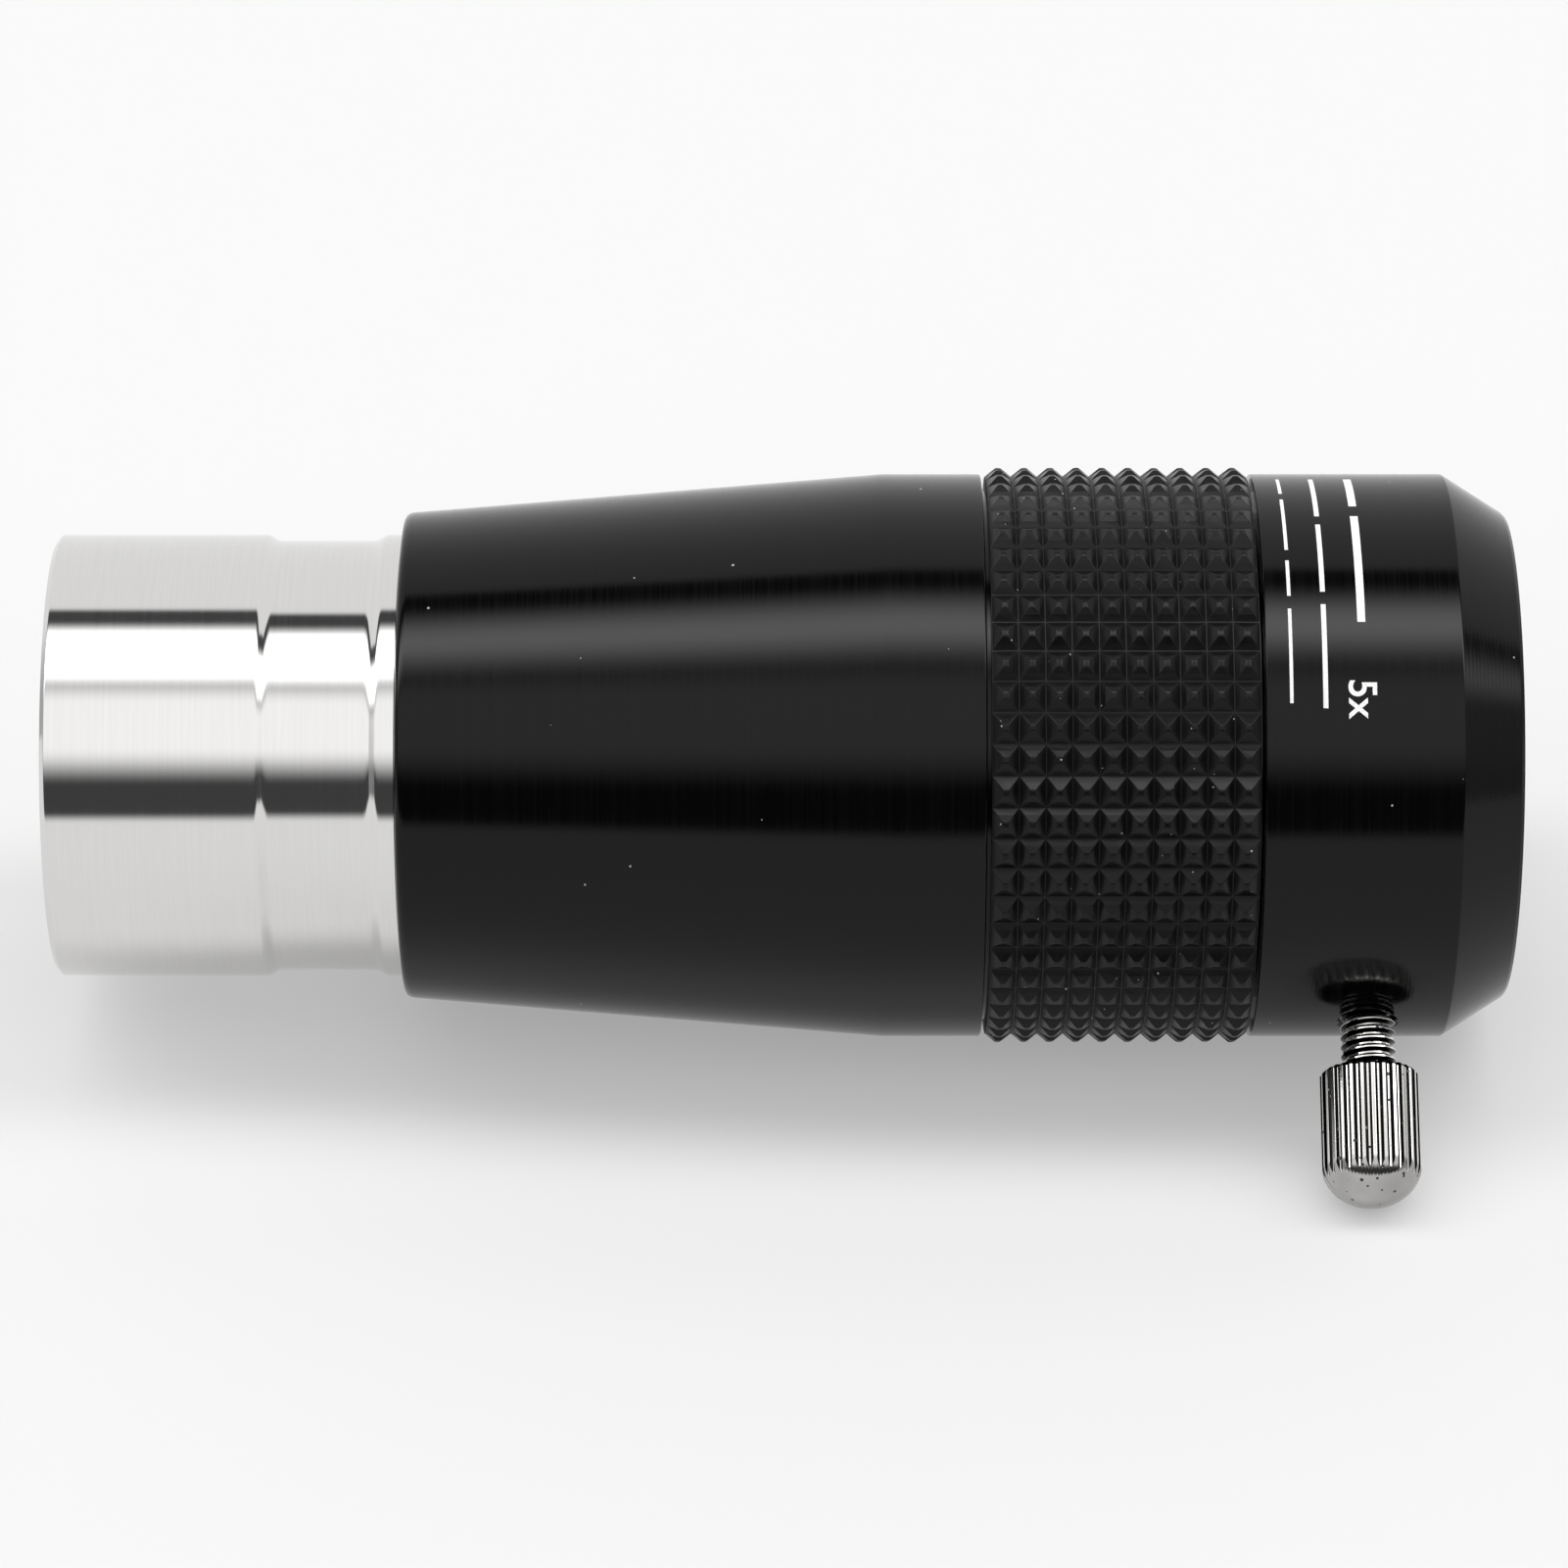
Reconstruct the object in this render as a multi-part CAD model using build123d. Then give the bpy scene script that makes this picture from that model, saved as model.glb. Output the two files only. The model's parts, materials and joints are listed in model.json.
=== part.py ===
"""A 5x barlow lens for 1.25 inch eyepieces, as an assembly of turned parts.

The optical axis is X.  The telescope end is at -X and the eyepiece end is at +X.  The origin is
where the optical axis crosses the black barrel's front face, the shoulder that stops against a
focuser.  +Z is up for a lens that lies on its grip and on the knob of its thumbscrew.
All sizes are in millimetres.
"""
from build123d import *
import math
import os

# ---- driving dimensions -------------------------------------------------------------------

# Nosepiece: the bright tube that slides into a 1.25 inch focuser.
NOSE_RADIUS = 15.85
NOSE_LENGTH = 24.85
NOSE_CHAMFER = 0.35
FILTER_THREAD_RADIUS = 13.95    # minor radius of the M28.5 x 0.6 thread for filters
CELL_SEAT_RADIUS = 13.7         # the finer thread that holds the lens cell and its lock ring
NOSE_REAR_BORE_RADIUS = 13.0
NOSE_TAIL_RADIUS = 14.9         # the threaded tail that screws into the barrel
NOSE_TAIL_LENGTH = 8.0
UNDERCUT_START = -9.8           # safety undercut: a focuser's screw drops into it
UNDERCUT_END = -1.3
UNDERCUT_DEPTH = 0.43
UNDERCUT_SLOPE = 0.75

# Barrel: the black tapered tube with a land for the rubber grip at its rear.
BARREL_FRONT_RADIUS = 17.4
BODY_RADIUS = 20.2
TAPER_LENGTH = 34.2
LAND_START = 41.2
LAND_END = 60.2
LAND_RADIUS = 19.0
BARREL_EDGE = 0.6
BARREL_MOUTH_RADIUS = 15.9      # the thread's mouth is chamfered, under the nosepiece's flange
BARREL_LEDGE_RADIUS = 14.0
BARREL_LEDGE_LENGTH = 3.0
BARREL_BORE_RADIUS = 15.2
HOLDER_THREAD_RADIUS = 17.4
HOLDER_THREAD_START = 47.0

# Rubber grip: rings of small pyramids, as coaxial ridges here.
GRIP_START = 41.56
GRIP_END = 60.2
GRIP_RIDGES = 10
GRIP_VALLEY_RADIUS = 20.05
GRIP_CREST_RADIUS = 20.65
GRIP_CREST_FLAT = 0.3

# Eyepiece holder: the black top with the socket for the eyepiece.
HOLDER_START = 60.5
HOLDER_END = 78.7
HOLDER_CHAMFER_LENGTH = 4.5
HOLDER_MOUTH_RADIUS = 17.5
HOLDER_MOUTH_EDGE = 0.25
SOCKET_RADIUS = 15.95
SOCKET_START = 50.0
SOCKET_LEAD_IN = 0.4
STOP_LIP_RADIUS = 14.2
SLEEVE_START = 48.5

# Clamp: a split brass ring in a groove, pushed by the thumbscrew.
SCREW_X = 68.55
SCREW_BELOW_HORIZONTAL = 34.0   # degrees, so that the knob rests on the same floor as the grip
GROOVE_RADIUS = 17.3
GROOVE_WIDTH = 5.1
CLAMP_RING_WIDTH = 4.9
CLAMP_RING_INNER_RADIUS = 16.05
CLAMP_RING_OUTER_RADIUS = 16.65
CLAMP_RING_GAP = 3.0

# Thumbscrew: M4 x 0.7, with a knurled and domed knob.  Heights are from the optical axis.
STUD_RADIUS = 1.95
STUD_HOLE_RADIUS = 2.0
STUD_TIP_HEIGHT = 16.75
STUD_TIP_RADIUS = 1.3
STUD_TIP_CHAMFER = 0.6
KNOB_FOOT_HEIGHT = 24.0
KNOB_DOME_START = 31.05
KNOB_TOP_HEIGHT = 34.0
KNOB_RADIUS = 3.6
KNOB_EDGE = 0.25
KNURL_TEETH = 28
KNURL_DEPTH = 0.34

# Optics: a cemented pair and a single negative lens in one cell.
CELL_START = -19.6
CELL_END = -6.1
CELL_LIP_LENGTH = 1.0
CELL_LIP_RADIUS = 9.8
LENS_RADIUS = 11.05
CELL_FLARE_RADIUS = 12.6
CELL_FLARE_LENGTH = 0.7
REAR_LENS_EDGE = 2.54
SPACER_LENGTH = 0.8
SPACER_BORE_RADIUS = 10.0
MENISCUS_EDGE = 1.92
FRONT_LENS_EDGE = 5.0
FRONT_HOLLOW = 1.4              # how deep each curved face is at its middle
CEMENTED_HOLLOW = 2.2
MENISCUS_REAR_HOLLOW = 0.93
REAR_LENS_HOLLOW = 1.24
RETAINER_LENGTH = 1.54
RETAINER_BORE_RADIUS = 9.9
LOCK_RING_LENGTH = 1.6
LOCK_RING_BORE_RADIUS = 12.0
SPANNER_SLOT_WIDTH = 1.6
SPANNER_SLOT_DEPTH = 0.7

# Baffles: thin rings with a knife edge, which stop stray light.
BAFFLE_THICKNESS = 1.2
BAFFLE_EDGE_THICKNESS = 0.2
BAFFLE_STARTS = {"front_baffle": 20.0, "middle_baffle": 29.0, "rear_baffle": 38.0}
FRONT_OPENING_RADIUS = 9.0
OPENING_GROWTH = 0.085          # the light cone widens by this much radius per millimetre


# ---- helpers ------------------------------------------------------------------------------

def turned(*outline):
    """A part turned about the optical axis from a closed outline of (x, radius) points."""
    edge = Polyline(*outline, close=True)
    return revolve(make_face(edge), Axis.X, 360)


def tube(start, end, inner_radius, outer_radius):
    """A plain tube about the optical axis."""
    return turned((start, inner_radius), (end, inner_radius), (end, outer_radius), (start, outer_radius))


def bulged_line(edge_x, bulge):
    """The curve of a lens face from its rim to the axis.  A negative bulge is a hollow face."""
    radius = (LENS_RADIUS ** 2 + bulge ** 2) / (2 * abs(bulge))
    middle = LENS_RADIUS / 2
    sag_there = math.sqrt(radius ** 2 - middle ** 2) - (radius - abs(bulge))
    side = math.copysign(1.0, bulge)
    return ThreePointArc((edge_x, LENS_RADIUS), (edge_x + side * sag_there, middle), (edge_x + bulge, 0))


def lens(front_x, rear_x, front_shift, rear_shift):
    """A lens between two rim positions.  Each shift moves a face's middle along +X; 0 is a flat face."""
    front_middle = (front_x + front_shift, 0)
    rear_middle = (rear_x + rear_shift, 0)
    rim = Line((front_x, LENS_RADIUS), (rear_x, LENS_RADIUS))
    front = bulged_line(front_x, front_shift) if front_shift else Line((front_x, LENS_RADIUS), front_middle)
    rear = bulged_line(rear_x, rear_shift) if rear_shift else Line((rear_x, LENS_RADIUS), rear_middle)
    axis_line = Line(front_middle, rear_middle)
    return revolve(make_face([rim, rear, axis_line, front]), Axis.X, 360)


def spanner_slots(ring, face_x, outer_radius):
    """Cuts a slot across the ring's front face, for a spanner wrench."""
    cutter = Box(2 * SPANNER_SLOT_DEPTH, SPANNER_SLOT_WIDTH, 2 * outer_radius + 1)
    return ring - Pos(face_x, 0, 0) * cutter


def screw_frame():
    """Where the thumbscrew's axis leaves the optical axis; its z direction points out to the knob."""
    angle = math.radians(SCREW_BELOW_HORIZONTAL)
    outwards = Vector(0, -math.cos(angle), -math.sin(angle))
    return Plane(origin=(SCREW_X, 0, 0), x_dir=(1, 0, 0), z_dir=outwards)


# ---- tubes --------------------------------------------------------------------------------

def make_nosepiece():
    undercut_radius = NOSE_RADIUS - UNDERCUT_DEPTH
    return turned(
        (-NOSE_LENGTH, FILTER_THREAD_RADIUS + NOSE_CHAMFER),
        (-NOSE_LENGTH, NOSE_RADIUS - NOSE_CHAMFER),
        (-NOSE_LENGTH + NOSE_CHAMFER, NOSE_RADIUS),
        (UNDERCUT_START, NOSE_RADIUS),
        (UNDERCUT_START + UNDERCUT_SLOPE, undercut_radius),
        (UNDERCUT_END - UNDERCUT_SLOPE, undercut_radius),
        (UNDERCUT_END, NOSE_RADIUS),
        (0, NOSE_RADIUS),
        (0, NOSE_TAIL_RADIUS),
        (NOSE_TAIL_LENGTH, NOSE_TAIL_RADIUS),
        (NOSE_TAIL_LENGTH, NOSE_REAR_BORE_RADIUS),
        (CELL_END, NOSE_REAR_BORE_RADIUS),
        (CELL_END, CELL_SEAT_RADIUS),
        (CELL_START - LOCK_RING_LENGTH, CELL_SEAT_RADIUS),
        (CELL_START - LOCK_RING_LENGTH, FILTER_THREAD_RADIUS),
        (-NOSE_LENGTH + NOSE_CHAMFER, FILTER_THREAD_RADIUS),
    )


def make_main_barrel():
    ledge_end = NOSE_TAIL_LENGTH + BARREL_LEDGE_LENGTH
    taper_rise = (BODY_RADIUS - BARREL_FRONT_RADIUS) * BARREL_EDGE / TAPER_LENGTH
    return turned(
        (BARREL_MOUTH_RADIUS - NOSE_TAIL_RADIUS, NOSE_TAIL_RADIUS),
        (0, BARREL_MOUTH_RADIUS),
        (0, BARREL_FRONT_RADIUS - BARREL_EDGE),
        (BARREL_EDGE, BARREL_FRONT_RADIUS + taper_rise),
        (TAPER_LENGTH, BODY_RADIUS),
        (LAND_START, BODY_RADIUS),
        (LAND_START, LAND_RADIUS),
        (LAND_END, LAND_RADIUS),
        (LAND_END, HOLDER_THREAD_RADIUS),
        (HOLDER_THREAD_START, HOLDER_THREAD_RADIUS),
        (HOLDER_THREAD_START, BARREL_BORE_RADIUS),
        (ledge_end, BARREL_BORE_RADIUS),
        (ledge_end, BARREL_LEDGE_RADIUS),
        (NOSE_TAIL_LENGTH, BARREL_LEDGE_RADIUS),
        (NOSE_TAIL_LENGTH, NOSE_TAIL_RADIUS),
    )


def make_grip_ring():
    pitch = (GRIP_END - GRIP_START) / GRIP_RIDGES
    outline = [(GRIP_START, LAND_RADIUS), (GRIP_START, GRIP_VALLEY_RADIUS)]
    for ridge in range(GRIP_RIDGES):
        crest_x = GRIP_START + (ridge + 0.5) * pitch
        outline.append((crest_x - GRIP_CREST_FLAT / 2, GRIP_CREST_RADIUS))
        outline.append((crest_x + GRIP_CREST_FLAT / 2, GRIP_CREST_RADIUS))
        outline.append((GRIP_START + (ridge + 1) * pitch, GRIP_VALLEY_RADIUS))
    outline.append((GRIP_END, LAND_RADIUS))
    return turned(*outline)


def make_eyepiece_holder():
    chamfer_start = HOLDER_END - HOLDER_CHAMFER_LENGTH
    groove_start = SCREW_X - GROOVE_WIDTH / 2
    groove_end = SCREW_X + GROOVE_WIDTH / 2
    body = turned(
        (SLEEVE_START, STOP_LIP_RADIUS),
        (SLEEVE_START, HOLDER_THREAD_RADIUS),
        (HOLDER_START, HOLDER_THREAD_RADIUS),
        (HOLDER_START, BODY_RADIUS),
        (chamfer_start, BODY_RADIUS),
        (HOLDER_END - HOLDER_MOUTH_EDGE, HOLDER_MOUTH_RADIUS),
        (HOLDER_END, HOLDER_MOUTH_RADIUS - HOLDER_MOUTH_EDGE),
        (HOLDER_END, SOCKET_RADIUS + SOCKET_LEAD_IN),
        (HOLDER_END - SOCKET_LEAD_IN, SOCKET_RADIUS),
        (groove_end, SOCKET_RADIUS),
        (groove_end, GROOVE_RADIUS),
        (groove_start, GROOVE_RADIUS),
        (groove_start, SOCKET_RADIUS),
        (SOCKET_START, SOCKET_RADIUS),
        (SOCKET_START, STOP_LIP_RADIUS),
    )
    hole_length = 2 * (BODY_RADIUS - SOCKET_RADIUS)
    hole = Pos(0, 0, (BODY_RADIUS + SOCKET_RADIUS) / 2) * Cylinder(STUD_HOLE_RADIUS, hole_length)
    return body - hole.moved(screw_frame().location)


# ---- clamp --------------------------------------------------------------------------------

def make_compression_ring():
    half_width = CLAMP_RING_WIDTH / 2
    ring = tube(SCREW_X - half_width, SCREW_X + half_width, CLAMP_RING_INNER_RADIUS, CLAMP_RING_OUTER_RADIUS)
    gap = Box(2 * CLAMP_RING_WIDTH, CLAMP_RING_GAP, CLAMP_RING_OUTER_RADIUS)
    gap = Pos(0, 0, -CLAMP_RING_OUTER_RADIUS) * gap
    return ring - gap.moved(screw_frame().location)


def make_thumbscrew():
    """The knob and its stud, built along z from the optical axis and then swung to the screw's place."""
    dome_rise = KNOB_TOP_HEIGHT - KNOB_DOME_START
    dome_radius = (KNOB_RADIUS ** 2 + dome_rise ** 2) / (2 * dome_rise)
    dome_centre = KNOB_TOP_HEIGHT - dome_radius
    shoulder_angle = math.asin(KNOB_RADIUS / dome_radius) / 2
    dome_middle = (dome_radius * math.sin(shoulder_angle), dome_centre + dome_radius * math.cos(shoulder_angle))
    side = Polyline(
        (0, KNOB_FOOT_HEIGHT),
        (KNOB_RADIUS - KNURL_DEPTH, KNOB_FOOT_HEIGHT),
        (KNOB_RADIUS, KNOB_FOOT_HEIGHT + KNOB_EDGE),
        (KNOB_RADIUS, KNOB_DOME_START),
    )
    dome = ThreePointArc((KNOB_RADIUS, KNOB_DOME_START), dome_middle, (0, KNOB_TOP_HEIGHT))
    middle_line = Line((0, KNOB_TOP_HEIGHT), (0, KNOB_FOOT_HEIGHT))
    half_section = Plane.XZ * make_face([side, dome, middle_line])
    knob = revolve(half_section, Axis.Z, 360)

    star = []
    for corner in range(2 * KNURL_TEETH):
        radius = KNOB_RADIUS - KNURL_DEPTH * (corner % 2)
        angle = math.pi * corner / KNURL_TEETH
        star.append((radius * math.cos(angle), radius * math.sin(angle)))
    knurl = extrude(make_face(Polyline(*star, close=True)), KNOB_TOP_HEIGHT)
    knob = knob & knurl

    stud_outline = Polyline(
        (0, STUD_TIP_HEIGHT),
        (STUD_TIP_RADIUS, STUD_TIP_HEIGHT),
        (STUD_RADIUS, STUD_TIP_HEIGHT + STUD_TIP_CHAMFER),
        (STUD_RADIUS, KNOB_FOOT_HEIGHT + KNOB_EDGE),
        (0, KNOB_FOOT_HEIGHT + KNOB_EDGE),
        close=True,
    )
    stud = revolve(Plane.XZ * make_face(stud_outline), Axis.Z, 360)
    return (knob + stud).moved(screw_frame().location)


# ---- optics -------------------------------------------------------------------------------

def make_lens_cell():
    flare_start = CELL_START + CELL_FLARE_LENGTH
    lip_start = CELL_END - CELL_LIP_LENGTH
    return turned(
        (CELL_START, CELL_FLARE_RADIUS),
        (CELL_START, CELL_SEAT_RADIUS),
        (CELL_END, CELL_SEAT_RADIUS),
        (CELL_END, CELL_LIP_RADIUS),
        (lip_start, CELL_LIP_RADIUS),
        (lip_start, LENS_RADIUS),
        (flare_start, LENS_RADIUS),
    )


def make_optics():
    """The lenses, the spacer and the retaining ring, stacked forwards from the cell's rear lip."""
    rear_seat = CELL_END - CELL_LIP_LENGTH
    rear_lens_front = rear_seat - REAR_LENS_EDGE
    spacer_front = rear_lens_front - SPACER_LENGTH
    meniscus_front = spacer_front - MENISCUS_EDGE
    front_lens_front = meniscus_front - FRONT_LENS_EDGE
    retainer_front = front_lens_front - RETAINER_LENGTH
    retainer = tube(retainer_front, front_lens_front, RETAINER_BORE_RADIUS, LENS_RADIUS)
    return {
        "rear_negative_lens": lens(rear_lens_front, rear_seat, REAR_LENS_HOLLOW, 0),
        "lens_spacer": tube(spacer_front, rear_lens_front, SPACER_BORE_RADIUS, LENS_RADIUS),
        "cemented_meniscus_lens": lens(meniscus_front, spacer_front, -CEMENTED_HOLLOW, -MENISCUS_REAR_HOLLOW),
        "front_negative_lens": lens(front_lens_front, meniscus_front, FRONT_HOLLOW, -CEMENTED_HOLLOW),
        "lens_retaining_ring": spanner_slots(retainer, retainer_front, LENS_RADIUS),
    }


def make_cell_lock_ring():
    start = CELL_START - LOCK_RING_LENGTH
    ring = tube(start, CELL_START, LOCK_RING_BORE_RADIUS, CELL_SEAT_RADIUS)
    return spanner_slots(ring, start, CELL_SEAT_RADIUS)


def make_baffle(start):
    opening_radius = FRONT_OPENING_RADIUS + OPENING_GROWTH * (start - BAFFLE_STARTS["front_baffle"])
    end = start + BAFFLE_THICKNESS
    edge_start = end - BAFFLE_EDGE_THICKNESS
    slope_radius = opening_radius + BAFFLE_THICKNESS - BAFFLE_EDGE_THICKNESS
    return turned(
        (start, slope_radius),
        (edge_start, opening_radius),
        (end, opening_radius),
        (end, BARREL_BORE_RADIUS),
        (start, BARREL_BORE_RADIUS),
    )


# ---- write the parts ----------------------------------------------------------------------

def make_all():
    parts = {
        "nosepiece": make_nosepiece(),
        "main_barrel": make_main_barrel(),
        "grip_ring": make_grip_ring(),
        "eyepiece_holder": make_eyepiece_holder(),
        "compression_ring": make_compression_ring(),
        "thumbscrew": make_thumbscrew(),
        "lens_cell": make_lens_cell(),
        "cell_lock_ring": make_cell_lock_ring(),
    }
    parts.update(make_optics())
    for name, start in BAFFLE_STARTS.items():
        parts[name] = make_baffle(start)
    return parts


def main():
    os.makedirs("parts", exist_ok=True)
    for name, part in make_all().items():
        export_step(part, f"parts/{name}.step")


main()
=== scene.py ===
# %% [markdown]
# # A barlow lens, turned from tubes
# A barlow lens slips into a telescope's focuser and makes an eyepiece magnify more. It is a stack
# of tubes turned on a lathe, with one group of negative lenses near the front. The engineering
# model is already there as a fixed frame, which says where each piece sits and how large it is.
# This lesson builds the pieces that the eye sees: crisp turned edges, the pyramids of the rubber
# grip, the knurled knob and its thread, and a finish for each of them.

# %% Load the frame
import json
import math

import bmesh
import bpy
from mathutils import Matrix, Vector


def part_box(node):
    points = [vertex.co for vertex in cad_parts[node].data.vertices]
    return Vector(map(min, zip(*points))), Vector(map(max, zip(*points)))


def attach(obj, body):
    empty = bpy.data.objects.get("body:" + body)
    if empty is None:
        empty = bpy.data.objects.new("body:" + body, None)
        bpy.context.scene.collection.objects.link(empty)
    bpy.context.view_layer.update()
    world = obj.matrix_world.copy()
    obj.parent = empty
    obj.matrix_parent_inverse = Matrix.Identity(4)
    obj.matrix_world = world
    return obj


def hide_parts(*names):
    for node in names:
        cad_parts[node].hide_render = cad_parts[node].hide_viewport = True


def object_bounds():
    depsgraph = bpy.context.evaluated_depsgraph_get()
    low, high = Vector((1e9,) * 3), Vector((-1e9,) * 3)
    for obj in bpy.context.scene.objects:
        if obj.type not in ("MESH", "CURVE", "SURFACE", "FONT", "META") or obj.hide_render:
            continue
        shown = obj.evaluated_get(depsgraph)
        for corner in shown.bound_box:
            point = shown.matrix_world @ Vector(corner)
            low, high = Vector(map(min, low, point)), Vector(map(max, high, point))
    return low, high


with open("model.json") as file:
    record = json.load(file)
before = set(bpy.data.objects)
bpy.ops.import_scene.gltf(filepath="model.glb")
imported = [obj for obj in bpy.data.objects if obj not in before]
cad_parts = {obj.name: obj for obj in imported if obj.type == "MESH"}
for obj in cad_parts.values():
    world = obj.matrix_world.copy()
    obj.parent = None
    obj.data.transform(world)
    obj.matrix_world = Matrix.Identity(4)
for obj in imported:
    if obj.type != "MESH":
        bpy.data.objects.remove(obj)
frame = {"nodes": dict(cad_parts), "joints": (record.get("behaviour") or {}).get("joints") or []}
cad_low, cad_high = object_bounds()
MM = 0.001
print("the frame measures", [round(side / MM, 2) for side in cad_high - cad_low], "mm")

# %% [markdown]
# ## The camera
# The lens lies on its side, and the camera looks down at it from the front. A long focal length
# from half a metre away keeps the tubes nearly parallel, as in a product picture. Shifting the
# picture isn't needed: the aim point is a little under the optical axis instead.

# %% Camera
CAMERA_ELEVATION = math.radians(36)
CAMERA_DISTANCE = 512 * MM
FOCAL_LENGTH = 163.4
SENSOR_WIDTH = 36
AIM_ALONG = 27.15 * MM
AIM_BELOW = 2.08 * MM
towards_camera = Vector((0, -math.cos(CAMERA_ELEVATION), math.sin(CAMERA_ELEVATION)))
picture_up = Vector((0, math.sin(CAMERA_ELEVATION), math.cos(CAMERA_ELEVATION)))
aim = Vector((AIM_ALONG, 0, 0)) - picture_up * AIM_BELOW

camera = bpy.data.objects.new("camera", bpy.data.cameras.new("camera"))
camera.data.lens = FOCAL_LENGTH
camera.data.sensor_width = SENSOR_WIDTH
camera.data.clip_start = 0.01
camera.location = aim + towards_camera * CAMERA_DISTANCE
camera.rotation_euler = towards_camera.to_track_quat("Z", "Y").to_euler()
bpy.context.scene.collection.objects.link(camera)
bpy.context.scene.camera = camera
print("camera at", [round(place, 3) for place in camera.location])

# %% [markdown]
# ## Two small helpers for node trees
# Every tree here is built in code. `put` adds one node and fills its sockets, either with a plain
# value or with a link from another node. `new_group` makes a group with named inputs, so that a
# tree reads like a tool with settings rather than like a tangle of nodes.

# %% Node helpers
def put(tree, kind, inputs=None, **settings):
    """Adds a node. Each input is given by name or number, as a value or as a socket to link."""
    node = tree.nodes.new(kind)
    for name, value in settings.items():
        setattr(node, name, value)
    for name, value in (inputs or {}).items():
        if isinstance(value, bpy.types.NodeSocket):
            tree.links.new(value, node.inputs[name])
        else:
            node.inputs[name].default_value = value
    return node


def new_group(name, kind, inputs, outputs):
    """A node group. Inputs are (name, socket type, value) and outputs are (name, socket type)."""
    tree = bpy.data.node_groups.new(name, kind)
    for label, socket_type, value in inputs:
        socket = tree.interface.new_socket(label, in_out="INPUT", socket_type=socket_type)
        if value is not None:
            socket.default_value = value
    for label, socket_type in outputs:
        tree.interface.new_socket(label, in_out="OUTPUT", socket_type=socket_type)
    return tree, tree.nodes.new("NodeGroupInput").outputs, tree.nodes.new("NodeGroupOutput")


def maths(tree, operation, first, second=0.0):
    """The result of one Math node."""
    return put(tree, "ShaderNodeMath", {0: first, 1: second}, operation=operation).outputs[0]


# %% [markdown]
# ## Light
# Polished tubes show their surroundings, so a studio lights them with large soft panels instead of
# bare lamps: a strong one overhead, a weaker one in front, and a pale backdrop behind. The dark gaps
# between them draw the lines along the tubes. Area lamps could do it, but their ends would show as
# corners. A world shader makes panels that run the whole length of the lens: the angle of a
# direction round the lens says which panel it meets. Towards the two ends of the lens the panels
# fade into an even grey. Where the camera looks past the floor, it sees a plain pale grey.

# %% Panels of light
# Each panel has the angles where it starts and ends, half the width of its soft edges, and its
# brightness. Angles are in degrees above the front horizon, up and over to the rear one at 180.
PANELS = {
    "front sweep": (-190, 3, 3, 0.9),
    "front panel": (30, 72, 10, 1.2),
    "overhead panel": (80, 100, 10, 5.5),
    "backdrop": (117, 190, 2, 0.9),
}
ROOM_BRIGHTNESS = 0.06
END_BRIGHTNESS = 0.5
PANELS_FADE = (0.80, 0.97)       # how far a direction leans along the lens where the panels fade out
BACKGROUND_GREY = 0.92


def panel_of_light(tree, degrees, start, end, edge, brightness):
    rise = put(tree, "ShaderNodeMapRange", {
        0: degrees, 1: start - edge, 2: start + edge, 3: 0.0, 4: brightness,
    }, interpolation_type="SMOOTHSTEP")
    fall = put(tree, "ShaderNodeMapRange", {
        0: degrees, 1: end - edge, 2: end + edge, 3: 1.0, 4: 0.0,
    }, interpolation_type="SMOOTHSTEP")
    return maths(tree, "MULTIPLY", rise.outputs[0], fall.outputs[0])


# %% World light
world = bpy.data.worlds.new("studio")
world.use_nodes = True
bpy.context.scene.world = world
tree = world.node_tree
tree.nodes.clear()
direction = put(tree, "ShaderNodeSeparateXYZ", {0: put(tree, "ShaderNodeTexCoord").outputs["Generated"]})
front = maths(tree, "MULTIPLY", direction.outputs["Y"], -1.0)
degrees = maths(tree, "DEGREES", maths(tree, "ARCTAN2", direction.outputs["Z"], front))
light = ROOM_BRIGHTNESS
for start, end, edge, brightness in PANELS.values():
    light = maths(tree, "ADD", light, panel_of_light(tree, degrees, start, end, edge, brightness))
lean = maths(tree, "ABSOLUTE", direction.outputs["X"])
brightness = put(tree, "ShaderNodeMapRange", {
    0: lean, 1: PANELS_FADE[0], 2: PANELS_FADE[1], 3: light, 4: END_BRIGHTNESS,
}, interpolation_type="SMOOTHSTEP")
studio = put(tree, "ShaderNodeBackground", {"Color": (1, 1, 1, 1), "Strength": brightness.outputs[0]})
grey = (BACKGROUND_GREY, BACKGROUND_GREY, BACKGROUND_GREY, 1)
plain = put(tree, "ShaderNodeBackground", {"Color": grey, "Strength": 1.0})
seen = put(tree, "ShaderNodeLightPath").outputs["Is Camera Ray"]
shown = put(tree, "ShaderNodeMixShader", {0: seen, 1: studio.outputs[0], 2: plain.outputs[0]})
put(tree, "ShaderNodeOutputWorld", {"Surface": shown.outputs[0]})
bpy.context.scene.view_settings.view_transform = "Standard"
print(len(PANELS), "panels of light")

# %% [markdown]
# ## The floor
# The floor is a plain pale sheet that touches the grip. It glows a little, as a backlit product
# table does, so that the shadow under the lens stays soft.

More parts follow.
